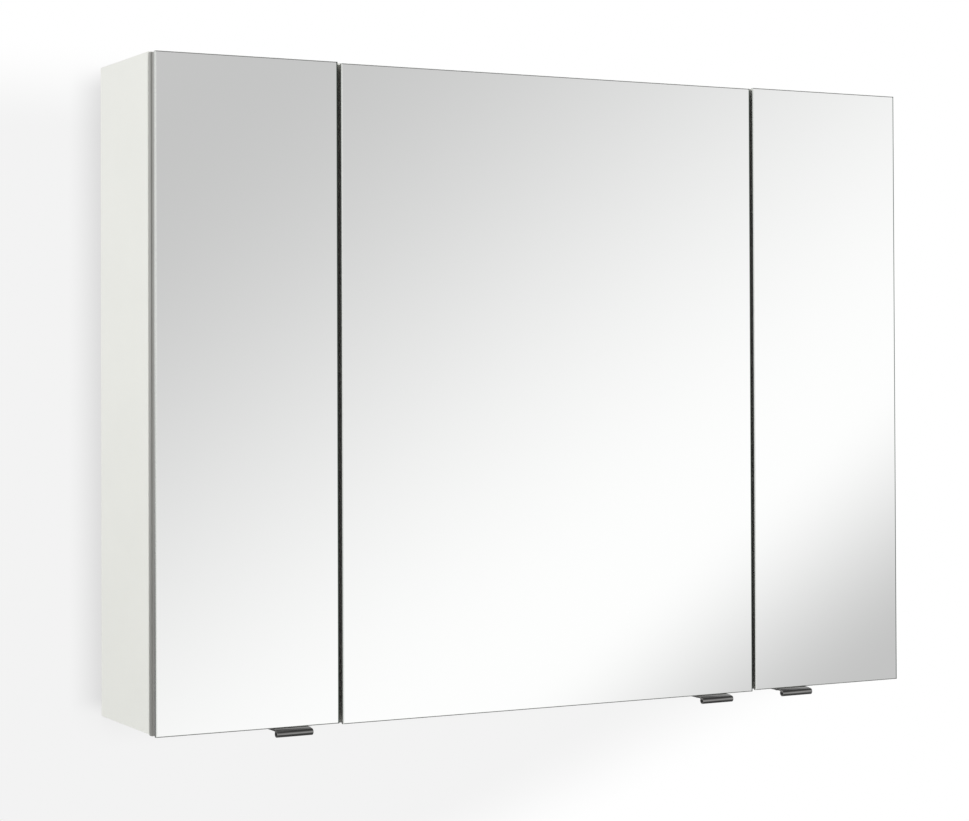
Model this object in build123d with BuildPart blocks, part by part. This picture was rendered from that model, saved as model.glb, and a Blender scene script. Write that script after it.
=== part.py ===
from build123d import *

import math
import os

# Wall-hung mirror cabinet with three doors, in millimetres.
# X runs across the cabinet, -Y is its front, +Z is up.
# The origin is on the wall, midway between the two screw slots of the wall rail.

# Carcass
cabinet_width = 900.0
carcass_height = 673.0
carcass_depth = 143.0
panel = 16.0
origin_to_top = 62.0
edge_round = 0.6
back_thickness = 4.0
back_inset = 18.0
groove_depth = 6.0
groove_play = 0.2

# Doors
side_door_width = 196.0
door_gap = 4.0
door_clearance = 2.5
door_top_reveal = 1.5
door_overhang = 0.5
centre_door_drop = 1.2
front_mirror_thickness = 4.0
core_thickness = 12.5
rear_mirror_thickness = 3.0
ground_edge = 1.0
edge_strip_thickness = 1.5
recess_width = 9.0
recess_depth = 0.8

# Handles: a bar on a bracket under the door's lower edge
handle_length = 39.5
handle_from_free_edge = 54.0
right_handle_from_free_edge = 48.0
handle_end_chamfer = 0.3
bar_radius = 3.4
bar_forward = 9.0
bar_below = 4.3
bracket_thickness = 2.0
bracket_depth = 14.0
handle_screw_spacing = 24.0
handle_screw_radius = 1.5
handle_screw_length = 12.0
handle_screw_head_radius = 3.0
handle_screw_head_height = 1.4

# Shelves
shelf_thickness = 5.0
shelf_front_setback = 10.0
shelf_play = 1.0
shelf_lift = 0.05
shelf_pin_radius = 2.5
shelf_pin_reach = 8.0
shelf_pin_depth = 7.0
shelf_pin_inset = 22.0
shelf_front_chamfer = 0.5
shelves_per_bay = 2

# Carcass joints
dowel_radius = 4.0
dowel_in_face = 11.0
dowel_in_edge = 19.0
dowel_inset = 35.0
cam_radius = 7.5
cam_depth = 12.5
cam_from_edge = 24.0
cam_slot = 1.2
bolt_radius = 3.0
bolt_in_face = 11.0
bolt_end_gap = 4.0
hole_spare = 0.5
cutter_spare = 1.0
fit = 0.05

# Concealed hinges, two to a door. Along a hinge u runs from the door's hinge edge into the cabinet
# and v runs from the carcass's front edge to the wall.
opening_angle = 92.0
hinge_inset = 95.0
cup_edge = 4.0
cup_radius = 17.5
cup_wall = 1.0
cup_depth = 11.5
flange_thickness = 1.0
flange_length = 54.0
flange_width = 20.0
flange_corner = 5.0
flange_offset = 7.5
flange_screw_offset = 9.5
flange_screw_spacing = 45.0
cup_pin_end_gap = 0.4
arm_pivot_1 = (24.6, 4.2)
cup_pivot_1 = (11.0, -9.1)
arm_pivot_2 = (42.0, 5.0)
cup_pivot_2 = (15.0, -5.4)
outer_link_ratio = -0.42
inner_link_ratio = -0.38
hinge_pin_radius = 1.25
running_clearance = 0.05
open_pivot_clearance = 0.15
strap_thickness = 2.0
strap_half_width = 3.2
eye_wall = 1.1
layer_gap = 0.35
strap_bends = ((19.9, -11.0), (25.4, -9.6))
cheek_thickness = 1.5
inner_link_width = 4.0
inner_link_bend = (19.0, -7.0)
plate_level = 20.0
arm_rise = 8.0
arm_length = 60.0
arm_sheet = 1.4
arm_front_v = 1.2
arm_pin_land = 3.4
arm_nose_v = 8.0
arm_hump_v = 16.0
arm_hump_rise = 2.0
arm_channel_v = 20.0
arm_screws_from_end = (10.0, 26.0)
arm_screw_length = 7.0
block_length = 34.0
block_play = 0.2
wing_thickness = 3.0
wing_reach = 24.0
wing_width = 12.0
wing_corner = 4.0
wing_screw_spacing = 32.0
wing_screw_from_front = 37.0
hinge_screw_radius = 1.8
hinge_screw_length = 11.0
hinge_screw_head_radius = 3.4
hinge_screw_head_height = 1.2

# Bumpers on the carcass's front edges
bumper_radius = 4.0
bumper_gap = 0.2
bumper_round = 0.8
bumper_from_free_edge = 12.0

# Wall rail and cabinet hangers
rail_sheet = 2.0
rail_end_play = 4.0
rail_foot = 14.0
rail_step_height = 16.0
rail_step_out = 6.0
rail_top = 34.0
slot_spacing = 640.0
slot_length = 16.0
slot_radius = 3.25
hook_thickness = 4.0
hook_width = 28.0
hook_from_side = 6.0
hook_claw = 2.5
hook_claw_drop = 12.0
hook_wall_gap = 1.0
housing_width = 40.0
housing_depth = 44.0
housing_height = 58.0
housing_wall = 2.0
housing_top_gap = 2.0
housing_window_play = 1.0
back_window_play = 2.0
cover_thickness = 2.0
cover_corner = 2.0
cover_lip = 3.0
cover_lip_thickness = 1.2
cover_play = 0.2
adjuster_radius = 2.5
adjuster_head_radius = 4.0
adjuster_head_height = 3.0
adjuster_head_recess = 3.0
adjuster_slot = 1.0
adjuster_slot_depth = 1.5
adjuster_spacing = 16.0
adjuster_below_hook = 8.0
hanger_screw_radius = 2.0
hanger_screw_length = 13.0
hanger_screw_levels = (0.55, 0.85)

# Cross slots in screw heads
cross_length = 3.2
cross_width = 0.8
cross_depth = 0.8

# Sizes that follow from those above
half_width = cabinet_width / 2
inner_face = half_width - panel
top_z = origin_to_top
bottom_z = top_z - carcass_height
middle_z = (top_z + bottom_z) / 2
inner_top = top_z - panel
inner_bottom = bottom_z + panel
inner_height = inner_top - inner_bottom
front_y = -carcass_depth
back_front_y = -(back_inset + back_thickness)
centre_door_width = cabinet_width - 2 * (side_door_width + door_gap)
partition_x = half_width - side_door_width - door_gap / 2
door_thickness = front_mirror_thickness + core_thickness + rear_mirror_thickness
door_rear_y = front_y - door_clearance
core_rear_y = door_rear_y - rear_mirror_thickness
core_front_y = core_rear_y - core_thickness
door_front_y = door_rear_y - door_thickness
door_height = carcass_height - door_top_reveal + door_overhang
side_door_top = top_z - door_top_reveal
cup_centre = cup_edge + cup_radius
link_layer = strap_half_width + layer_gap
arm_layer = link_layer + cheek_thickness + layer_gap
arm_half_width = arm_layer + arm_sheet

# Every door: name, the X of its hinge edge, the way from that edge into the door, width, drop,
# how far the panel that carries its hinges reaches past the door's edge, and its handle's place
lap = (panel - door_gap) / 2
doors = [
    ("left", -half_width, 1, side_door_width, 0.0, panel, handle_from_free_edge),
    ("centre", -centre_door_width / 2, 1, centre_door_width, centre_door_drop, lap, handle_from_free_edge),
    ("right", half_width, -1, side_door_width, 0.0, panel, right_handle_from_free_edge),
]
# Every bay: name, low X and high X between the panels' faces
bays = [
    ("left", -inner_face, -partition_x - panel / 2),
    ("centre", -partition_x + panel / 2, partition_x - panel / 2),
    ("right", partition_x + panel / 2, inner_face),
]
shelf_levels = [
    (name, inner_bottom + inner_height * step / (shelves_per_bay + 1))
    for name, step in (("lower", 1), ("upper", shelves_per_bay))
]
dowel_rows = (-dowel_inset, front_y + dowel_inset)
cam_y = front_y / 2
shelf_pin_rows = (back_front_y - shelf_pin_inset, front_y + shelf_front_setback + shelf_pin_inset)

os.makedirs("parts", exist_ok=True)


def save(builder, name):
    """Label a finished piece and write it as one file."""
    builder.part.label = name
    export_step(builder.part, f"parts/{name}.step")


def hinge_levels(drop):
    """Heights of a door's two hinges."""
    door_top = side_door_top - drop
    return (door_top - hinge_inset, door_top - door_height + hinge_inset)


def turned(point, angle):
    """A point of the hinge's plan, turned about its origin the way a door opens."""
    c, s = math.cos(angle), math.sin(angle)
    return (point[0] * c + point[1] * s, -point[0] * s + point[1] * c)


def plus(a, b):
    """Sum of two points of the plan."""
    return (a[0] + b[0], a[1] + b[1])


def minus(a, b):
    """Difference of two points of the plan."""
    return (a[0] - b[0], a[1] - b[1])


def arm_pin_seen_from_inner_link(angle):
    """Where the arm's second pin stands in the inner link's own plan, with the door at an angle."""
    pivot_1 = plus(arm_pivot_1, turned(minus(cup_pivot_1, arm_pivot_1), outer_link_ratio * angle))
    pivot_2 = plus(pivot_1, turned(minus(cup_pivot_2, cup_pivot_1), angle))
    seen = turned(minus(arm_pivot_2, pivot_2), -inner_link_ratio * angle)
    return plus(cup_pivot_2, seen)


# The inner link turns at a steady share of the door's angle, so its arm end has a hole wide enough
# for the little way that the arm's pin wanders in it.
pin_places = [
    arm_pin_seen_from_inner_link(math.radians(opening_angle * step / 20)) for step in range(21)
]
open_pivot = (
    (min(p[0] for p in pin_places) + max(p[0] for p in pin_places)) / 2,
    (min(p[1] for p in pin_places) + max(p[1] for p in pin_places)) / 2,
)
wander = max(math.dist(p, open_pivot) for p in pin_places)
open_pivot_radius = hinge_pin_radius + wander + open_pivot_clearance
print(f"open pivot wanders {wander:.2f} mm, hole radius {open_pivot_radius:.2f} mm")


# Side panels, with grooves for the back and holes for dowels, bolts, pins and screws
def side_panel(side):
    outer = side * half_width
    inner = side * inner_face
    inside = Plane.YZ.offset(inner)
    with BuildPart() as body:
        with BuildSketch(Plane.YZ.offset(outer)):
            with Locations((front_y / 2, middle_z)):
                Rectangle(carcass_depth, carcass_height)
        extrude(amount=-side * panel)
        fillet(body.faces().sort_by(Axis.X)[-1 if side > 0 else 0].edges(), edge_round)
        with BuildSketch(inside):
            with Locations((-back_inset - back_thickness / 2, middle_z)):
                Rectangle(back_thickness + groove_play, inner_height + 2 * groove_depth)
        extrude(amount=side * groove_depth, mode=Mode.SUBTRACT)
        with BuildSketch(inside):
            for z in (top_z - panel / 2, bottom_z + panel / 2):
                with Locations(*[(y, z) for y in dowel_rows]):
                    Circle(dowel_radius + fit)
        extrude(amount=side * dowel_in_face, mode=Mode.SUBTRACT)
        with BuildSketch(inside):
            for z in (top_z - panel / 2, bottom_z + panel / 2):
                with Locations((cam_y, z)):
                    Circle(bolt_radius + fit)
        extrude(amount=side * bolt_in_face, mode=Mode.SUBTRACT)
        with BuildSketch(inside):
            for _, level in shelf_levels:
                with Locations(*[(y, level - shelf_pin_radius - shelf_lift) for y in shelf_pin_rows]):
                    Circle(shelf_pin_radius + fit)
        extrude(amount=side * shelf_pin_depth, mode=Mode.SUBTRACT)
        with BuildSketch(inside):
            for z in hinge_levels(0.0):
                for dz in (-wing_screw_spacing / 2, wing_screw_spacing / 2):
                    with Locations((front_y + wing_screw_from_front, z + dz)):
                        Circle(hinge_screw_radius + fit)
        extrude(amount=side * (hinge_screw_length - wing_thickness + hole_spare), mode=Mode.SUBTRACT)
        with BuildSketch(inside):
            with Locations(*hanger_screw_points()):
                Circle(hanger_screw_radius + fit)
        extrude(amount=side * (hanger_screw_length - housing_wall + hole_spare), mode=Mode.SUBTRACT)
    return body


def hanger_screw_points():
    """Y and Z of the two screws that hold a hanger's housing to the side panel."""
    y = back_front_y - housing_depth / 2
    top = inner_top - housing_top_gap
    return [(y, top - housing_height * level) for level in hanger_screw_levels]


left_side_panel = side_panel(-1)
save(left_side_panel, "left_side_panel")
right_side_panel = side_panel(1)
save(right_side_panel, "right_side_panel")


# Top and bottom panels between the side panels
def level_panel(outer_z, up):
    inner_z = outer_z - up * panel
    inside = Plane.XY.offset(inner_z)
    with BuildPart() as body:
        with BuildSketch(Plane.XY.offset(outer_z)):
            with Locations((0, front_y / 2)):
                Rectangle(2 * inner_face, carcass_depth)
        extrude(amount=-up * panel)
        with BuildSketch(inside):
            with Locations((0, -back_inset - back_thickness / 2)):
                Rectangle(2 * inner_face, back_thickness + groove_play)
        extrude(amount=up * groove_depth, mode=Mode.SUBTRACT)
        with BuildSketch(inside):
            for x in (-partition_x, partition_x):
                with Locations(*[(x, y) for y in dowel_rows]):
                    Circle(dowel_radius + fit)
        extrude(amount=up * dowel_in_face, mode=Mode.SUBTRACT)
        with BuildSketch(inside):
            for side in (-1, 1):
                with Locations((side * (inner_face - cam_from_edge), cam_y)):
                    Circle(cam_radius + fit)
        extrude(amount=up * cam_depth, mode=Mode.SUBTRACT)
        for side in (-1, 1):
            with BuildSketch(Plane.YZ.offset(side * inner_face)):
                with Locations(*[(y, outer_z - up * panel / 2) for y in dowel_rows]):
                    Circle(dowel_radius + fit)
            extrude(amount=-side * dowel_in_edge, mode=Mode.SUBTRACT)
            with BuildSketch(Plane.YZ.offset(side * inner_face)):
                with Locations((cam_y, outer_z - up * panel / 2)):
                    Circle(bolt_radius + fit)
            extrude(amount=-side * cam_from_edge, mode=Mode.SUBTRACT)
    return body


top_panel = level_panel(top_z, 1)
save(top_panel, "top_panel")
bottom_panel = level_panel(bottom_z, -1)
save(bottom_panel, "bottom_panel")

# Back panel in the grooves, with a window for each hanger's hook
hook_centre_x = inner_face - hook_from_side - hook_width / 2
hook_low_z = rail_top
with BuildPart() as back_panel:
    with BuildSketch(Plane.XZ.offset(back_inset)):
        with Locations((0, middle_z)):
            Rectangle(2 * (inner_face + groove_depth), inner_height + 2 * groove_depth)
        with Locations(*[(s * hook_centre_x, hook_low_z + hook_thickness / 2) for s in (-1, 1)]):
            Rectangle(
                hook_width + 2 * back_window_play,
                hook_thickness + 2 * back_window_play,
                mode=Mode.SUBTRACT,
            )
    extrude(amount=back_thickness)
save(back_panel, "back_panel")


# Partitions between the bays
def partition(side, carries_hinges):
    depth = carcass_depth - back_inset - back_thickness
    with BuildPart() as body:
        with BuildSketch(Plane.YZ.offset(side * partition_x - panel / 2)):
            with Locations((front_y + depth / 2, middle_z)):
                Rectangle(depth, inner_height)
        extrude(amount=panel)
        for z, way in ((inner_top, -1), (inner_bottom, 1)):
            with BuildSketch(Plane.XY.offset(z)):
                with Locations(*[(side * partition_x, y) for y in dowel_rows]):
                    Circle(dowel_radius + fit)
            extrude(amount=way * dowel_in_edge, mode=Mode.SUBTRACT)
        for face in (-1, 1):
            with BuildSketch(Plane.YZ.offset(side * partition_x + face * panel / 2)):
                for _, level in shelf_levels:
                    height = level - shelf_pin_radius - shelf_lift
                    with Locations(*[(y, height) for y in shelf_pin_rows]):
                        Circle(shelf_pin_radius + fit)
            extrude(amount=-face * shelf_pin_depth, mode=Mode.SUBTRACT)
        if carries_hinges:
            with BuildSketch(Plane.YZ.offset(side * partition_x + panel / 2)):
                for z in hinge_levels(centre_door_drop):
                    for dz in (-wing_screw_spacing / 2, wing_screw_spacing / 2):
                        with Locations((front_y + wing_screw_from_front, z + dz)):
                            Circle(hinge_screw_radius + fit)
            extrude(amount=-(hinge_screw_length - wing_thickness + hole_spare), mode=Mode.SUBTRACT)
    return body


left_partition = partition(-1, True)
save(left_partition, "left_partition")
right_partition = partition(1, False)
save(right_partition, "right_partition")

# Dowels in the eight joints
dowel_length = dowel_in_face + dowel_in_edge - 2 * hole_spare
with BuildPart() as dowels:
    for z in (top_z - panel / 2, bottom_z + panel / 2):
        for side in (-1, 1):
            start = side * (inner_face + dowel_in_face - hole_spare)
            with BuildSketch(Plane.YZ.offset(start)):
                with Locations(*[(y, z) for y in dowel_rows]):
                    Circle(dowel_radius)
            extrude(amount=-side * dowel_length)
    for z, way in ((inner_top, -1), (inner_bottom, 1)):
        with BuildSketch(Plane.XY.offset(z - way * (dowel_in_face - hole_spare))):
            for x in (-partition_x, partition_x):
                with Locations(*[(x, y) for y in dowel_rows]):
                    Circle(dowel_radius)
        extrude(amount=way * dowel_length)
save(dowels, "dowels")

# Cam fasteners: a disc in the level panel that draws in a bolt from the side panel
with BuildPart() as cam_discs:
    for inner_z, up in ((inner_top, 1), (inner_bottom, -1)):
        with BuildSketch(Plane.XY.offset(inner_z)):
            with Locations(*[(s * (inner_face - cam_from_edge), cam_y) for s in (-1, 1)]):
                Circle(cam_radius)
        extrude(amount=up * (cam_depth - fit))
        for side in (-1, 1):
            mouth = side * (inner_face - cam_from_edge + cam_radius + cutter_spare)
            with BuildSketch(Plane.YZ.offset(mouth)):
                with Locations((cam_y, inner_z + up * panel / 2)):
                    Circle(bolt_radius + 2 * fit)
            extrude(amount=-side * (cam_radius + 2 * cutter_spare), mode=Mode.SUBTRACT)
        with BuildSketch(Plane.XY.offset(inner_z)):
            with Locations(*[(s * (inner_face - cam_from_edge), cam_y) for s in (-1, 1)]):
                Rectangle(cam_radius, cam_slot)
                Rectangle(cam_slot, cam_radius)
        extrude(amount=up * cam_slot, mode=Mode.SUBTRACT)
save(cam_discs, "cam_discs")

with BuildPart() as cam_bolts:
    for z in (top_z - panel / 2, bottom_z + panel / 2):
        for side in (-1, 1):
            with BuildSketch(Plane.YZ.offset(side * (inner_face + bolt_in_face - hole_spare))):
                with Locations((cam_y, z)):
                    Circle(bolt_radius)
            extrude(amount=-side * (bolt_in_face - hole_spare + cam_from_edge - bolt_end_gap))
save(cam_bolts, "cam_bolts")

# Glass shelves on pins
shelf_front_y = front_y + shelf_front_setback
for bay_name, low_x, high_x in bays:
    for level_name, level in shelf_levels:
        with BuildPart() as shelf:
            with BuildSketch(Plane.XY.offset(level)):
                with Locations(((low_x + high_x) / 2, (shelf_front_y + back_front_y - shelf_play) / 2)):
                    Rectangle(high_x - low_x - 2 * shelf_play, back_front_y - shelf_play - shelf_front_y)
            extrude(amount=shelf_thickness)
            chamfer(shelf.edges().filter_by(Axis.X).group_by(Axis.Y)[0], shelf_front_chamfer)
        save(shelf, f"{bay_name}_{level_name}_shelf")

with BuildPart() as shelf_pins:
    for _, low_x, high_x in bays:
        for face, way in ((low_x, 1), (high_x, -1)):
            with BuildSketch(Plane.YZ.offset(face - way * (shelf_pin_depth - hole_spare))):
                for _, level in shelf_levels:
                    height = level - shelf_pin_radius - shelf_lift
                    with Locations(*[(y, height) for y in shelf_pin_rows]):
                        Circle(shelf_pin_radius)
            extrude(amount=way * (shelf_pin_depth - hole_spare + shelf_pin_reach))
save(shelf_pins, "shelf_pins")

# Wall rail: a bent strip with a lip that stands off the wall
rail_length = 2 * (inner_face - rail_end_play)
with BuildPart() as wall_rail:
    with BuildSketch(Plane.YZ.offset(-rail_length / 2)):
        with BuildLine():
            Polyline(
                (0, -rail_foot),
                (0, rail_step_height),
                (-rail_step_out, rail_step_height),
                (-rail_step_out, rail_top),
                (-rail_step_out - rail_sheet, rail_top),
                (-rail_step_out - rail_sheet, rail_step_height - rail_sheet),
                (-rail_sheet, rail_step_height - rail_sheet),
                (-rail_sheet, -rail_foot),
                close=True,
            )
        make_face()
    extrude(amount=rail_length)
    with BuildSketch(Plane.XZ):
        with Locations((-slot_spacing / 2, 0), (slot_spacing / 2, 0)):
            SlotOverall(slot_length, 2 * slot_radius)
    extrude(amount=rail_sheet, mode=Mode.SUBTRACT)
save(wall_rail, "wall_rail")

# Cabinet hangers in the upper rear corners
housing_top = inner_top - housing_top_gap
housing_bottom = housing_top - housing_height
housing_front_y = back_front_y - housing_depth
hook_plate_y = housing_front_y + adjuster_head_height + adjuster_head_recess
adjuster_levels = [hook_low_z - adjuster_below_hook - drop for drop in (0.0, adjuster_spacing)]


def housing_centre_x(side):
    return side * (inner_face - housing_width / 2)


with BuildPart() as hanger_housings:
    for side in (-1, 1):
        with BuildSketch(Plane.XZ.offset(-back_front_y)):
            with Locations((housing_centre_x(side), (housing_top + housing_bottom) / 2)):
                Rectangle(housing_width, housing_height)
        extrude(amount=housing_depth)
        with BuildSketch(Plane.XZ.offset(-back_front_y + housing_wall)):
            with Locations((housing_centre_x(side), (housing_top + housing_bottom) / 2)):
                Rectangle(housing_width - 2 * housing_wall, housing_height - 2 * housing_wall)
        extrude(amount=housing_depth, mode=Mode.SUBTRACT)
        with BuildSketch(Plane.XZ.offset(-back_front_y)):
            with Locations((side * hook_centre_x, hook_low_z + hook_thickness / 2)):
                Rectangle(
                    hook_width + 2 * housing_window_play,
                    hook_thickness + 2 * housing_window_play,
                )
        extrude(amount=housing_wall, mode=Mode.SUBTRACT)
        with BuildSketch(Plane.YZ.offset(side * inner_face)):
            with Locations(*hanger_screw_points()):
                Circle(hanger_screw_radius + fit)
        extrude(amount=-side * housing_wall, mode=Mode.SUBTRACT)
save(hanger_housings, "hanger_housings")

with BuildPart() as hanger_hooks:
    for side in (-1, 1):
        with BuildSketch(Plane.YZ.offset(side * hook_centre_x - hook_width / 2)):
            with BuildLine():
                Polyline(
                    (-hook_wall_gap, hook_low_z + hook_thickness),
                    (-hook_wall_gap, hook_low_z - hook_claw_drop),
                    (-hook_wall_gap - hook_claw, hook_low_z - hook_claw_drop),
                    (-hook_wall_gap - hook_claw, hook_low_z),
                    (hook_plate_y + hook_claw, hook_low_z),
                    (hook_plate_y + hook_claw, housing_bottom + 2 * housing_wall),
                    (hook_plate_y, housing_bottom + 2 * housing_wall),
                    (hook_plate_y, hook_low_z + hook_thickness),
                    close=True,
                )
            make_face()
        extrude(amount=hook_width)
        with BuildSketch(Plane.XZ.offset(-hook_plate_y)):
            with Locations(*[(side * hook_centre_x, z) for z in adjuster_levels]):
                Circle(adjuster_radius + fit)
        extrude(amount=-hook_claw, mode=Mode.SUBTRACT)
save(hanger_hooks, "hanger_hooks")

with BuildPart() as hanger_adjusters:
    for side in (-1, 1):
        with BuildSketch(Plane.XZ.offset(-back_front_y + housing_wall)):
            with Locations(*[(side * hook_centre_x, z) for z in adjuster_levels]):
                Circle(adjuster_radius)
        extrude(amount=-hook_plate_y + back_front_y - housing_wall)
        with BuildSketch(Plane.XZ.offset(-hook_plate_y)):
            with Locations(*[(side * hook_centre_x, z) for z in adjuster_levels]):
                Circle(adjuster_head_radius)
        extrude(amount=adjuster_head_height)
        with BuildSketch(Plane.XZ.offset(-hook_plate_y + adjuster_head_height)):
            with Locations(*[(side * hook_centre_x, z) for z in adjuster_levels]):
                Rectangle(adjuster_head_radius, adjuster_slot)
                Rectangle(adjuster_slot, adjuster_head_radius)
        extrude(amount=-adjuster_slot_depth, mode=Mode.SUBTRACT)
save(hanger_adjusters, "hanger_adjusters")

with BuildPart() as hanger_covers:
    for side in (-1, 1):
        with BuildSketch(Plane.XZ.offset(-housing_front_y)):
            with Locations((housing_centre_x(side), (housing_top + housing_bottom) / 2)):
                RectangleRounded(housing_width, housing_height, cover_corner)
            with Locations(*[(side * hook_centre_x, z) for z in adjuster_levels]):
                Circle(adjuster_head_radius, mode=Mode.SUBTRACT)
        extrude(amount=cover_thickness)
        outside = 2 * (housing_wall + cover_play)
        inside = outside + 2 * cover_lip_thickness
        with BuildSketch(Plane.XZ.offset(-housing_front_y)):
            with Locations((housing_centre_x(side), (housing_top + housing_bottom) / 2)):
                Rectangle(housing_width - outside, housing_height - outside)
                Rectangle(housing_width - inside, housing_height - inside, mode=Mode.SUBTRACT)
        extrude(amount=-cover_lip)
save(hanger_covers, "hanger_covers")

with BuildPart() as hanger_screws:
    for side in (-1, 1):
        head_x = side * (inner_face - housing_wall)
        with BuildSketch(Plane.YZ.offset(head_x)):
            with Locations(*hanger_screw_points()):
                Circle(hanger_screw_radius)
        extrude(amount=side * hanger_screw_length)
        with BuildSketch(Plane.YZ.offset(head_x)):
            with Locations(*hanger_screw_points()):
                Circle(2 * hanger_screw_radius)
        extrude(amount=-side * hanger_screw_radius)
save(hanger_screws, "hanger_screws")

# Bumpers at the doors' free corners, on the front edges of the top and bottom panels
with BuildPart() as bumpers:
    with BuildSketch(Plane.XZ.offset(-front_y)):
        for _, edge_x, way, width, _, _, _ in doors:
            x = edge_x + way * (width - bumper_from_free_edge)
            with Locations((x, top_z - panel / 2), (x, bottom_z + panel / 2)):
                Circle(bumper_radius)
    extrude(amount=door_clearance - bumper_gap)
    fillet(bumpers.faces().group_by(Axis.Y)[0].edges(), bumper_round)
save(bumpers, "bumpers")


# Hinge pieces, each made once in the hinge's own plan at level 0
def eye(point, radius):
    """A round boss of the sketch that is being drawn."""
    with Locations(point):
        Circle(radius)


def strap(points, width):
    """A bent strip of the sketch that is being drawn, rounded at its corners."""
    for a, b in zip(points[:-1], points[1:]):
        with Locations(((a[0] + b[0]) / 2, (a[1] + b[1]) / 2)):
            angle = math.degrees(math.atan2(b[1] - a[1], b[0] - a[0]))
            Rectangle(math.dist(a, b), width, rotation=angle)
    for point in points[1:-1]:
        eye(point, width / 2)


cup_floor_v = -door_clearance - cup_depth
rear_face_v = -door_clearance
flange_screws_u = cup_centre + flange_screw_offset

# Cup: a drawn bowl with a flange on the door's rear face, and the pins of its two pivots
with BuildPart() as cup:
    with BuildSketch(Plane.XZ.offset(-cup_floor_v)):
        with Locations((cup_centre, 0)):
            Circle(cup_radius)
    extrude(amount=-cup_depth)
    with BuildSketch(Plane.XZ.offset(-rear_face_v)):
        with Locations((cup_centre + flange_offset, 0)):
            RectangleRounded(flange_width, flange_length, flange_corner)
        with Locations((cup_centre, 0)):
            Circle(cup_radius)
    extrude(amount=-flange_thickness)
    with BuildSketch(Plane.XZ.offset(-cup_floor_v - cup_wall)):
        with Locations((cup_centre, 0)):
            Circle(cup_radius - cup_wall)
    extrude(amount=-(cup_depth + flange_thickness), mode=Mode.SUBTRACT)
    with BuildSketch(Plane.XZ.offset(-rear_face_v)):
        with Locations(*[(flange_screws_u, s * flange_screw_spacing / 2) for s in (-1, 1)]):
            Circle(hinge_screw_radius + fit)
    extrude(amount=-flange_thickness, mode=Mode.SUBTRACT)
    with BuildSketch(Plane.XY.offset(-cup_radius)):
        for pivot in (cup_pivot_1, cup_pivot_2):
            eye(pivot, hinge_pin_radius + fit / 2)
    extrude(amount=2 * cup_radius, mode=Mode.SUBTRACT)


def pin_end(pivot_u):
    """How far from the middle of the cup a pin can reach inside its wall."""
    return math.sqrt((cup_radius - cup_wall / 2) ** 2 - (pivot_u - cup_centre) ** 2) - cup_pin_end_gap


with BuildPart() as cup_pins:
    with BuildSketch(Plane.XY.offset(-pin_end(cup_pivot_1[0]))):
        eye(cup_pivot_1, hinge_pin_radius)
    extrude(amount=2 * pin_end(cup_pivot_1[0]))
    for way in (-1, 1):
        with BuildSketch(Plane.XY.offset(way * link_layer)):
            eye(cup_pivot_2, hinge_pin_radius)
        extrude(amount=way * (pin_end(cup_pivot_2[0]) - link_layer))

# Outer link: a bent strap with a rolled eye at each end
eye_radius = hinge_pin_radius + running_clearance + eye_wall
with BuildPart() as outer_link:
    with BuildSketch(Plane.XY.offset(-strap_half_width)):
        strap((cup_pivot_1, *strap_bends, arm_pivot_1), strap_thickness)
        eye(cup_pivot_1, eye_radius)
        eye(arm_pivot_1, eye_radius)
        with Locations(cup_pivot_1, arm_pivot_1):
            Circle(hinge_pin_radius + running_clearance, mode=Mode.SUBTRACT)
    extrude(amount=2 * strap_half_width)

# Inner link: two cheeks beside the outer link
with BuildPart() as inner_link:
    for low in (-link_layer - cheek_thickness, link_layer):
        with BuildSketch(Plane.XY.offset(low)):
            strap((cup_pivot_2, inner_link_bend, open_pivot), inner_link_width)
            eye(cup_pivot_2, eye_radius)
            eye(open_pivot, open_pivot_radius + eye_wall)
            with Locations(cup_pivot_2):
                Circle(hinge_pin_radius + running_clearance, mode=Mode.SUBTRACT)
            with Locations(open_pivot):
                Circle(open_pivot_radius, mode=Mode.SUBTRACT)
        extrude(amount=cheek_thickness)

# Arm: a pressed channel whose cheeks hold the pins of its two pivots
arm_top_u = plate_level + arm_rise
arm_screw_points = [(arm_length - back, 0) for back in arm_screws_from_end]
wing_screw_points = [(wing_screw_from_front, s * wing_screw_spacing / 2) for s in (-1, 1)]
with BuildPart() as arm:
    for low in (-arm_half_width, arm_layer):
        with BuildSketch(Plane.XY.offset(low)):
            with BuildLine():
                Polyline(
                    (arm_pivot_1[0] - arm_pin_land, arm_front_v),
                    (arm_pivot_2[0] + arm_pin_land, arm_front_v),
                    (arm_pivot_2[0] + arm_pin_land, arm_nose_v),
                    (arm_top_u + arm_hump_rise, arm_hump_v),
                    (arm_top_u, arm_channel_v),
                    (arm_top_u, arm_length),
                    (arm_pivot_1[0] - arm_pin_land, arm_length),
                    close=True,
                )
            make_face()
            with Locations(arm_pivot_1, arm_pivot_2):
                Circle(hinge_pin_radius + fit / 2, mode=Mode.SUBTRACT)
        extrude(amount=arm_sheet)
    with BuildSketch(Plane.YZ.offset(arm_top_u - arm_sheet)):
        with Locations(((arm_length + arm_channel_v) / 2, 0)):
            Rectangle(arm_length - arm_channel_v, 2 * arm_half_width)
        with Locations(*arm_screw_points):
            Circle(hinge_screw_radius + 2 * fit, mode=Mode.SUBTRACT)
    extrude(amount=arm_sheet)

with BuildPart() as arm_pins:
    for pivot in (arm_pivot_1, arm_pivot_2):
        with BuildSketch(Plane.XY.offset(-arm_half_width)):
            eye(pivot, hinge_pin_radius)
        extrude(amount=2 * arm_half_width)


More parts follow.
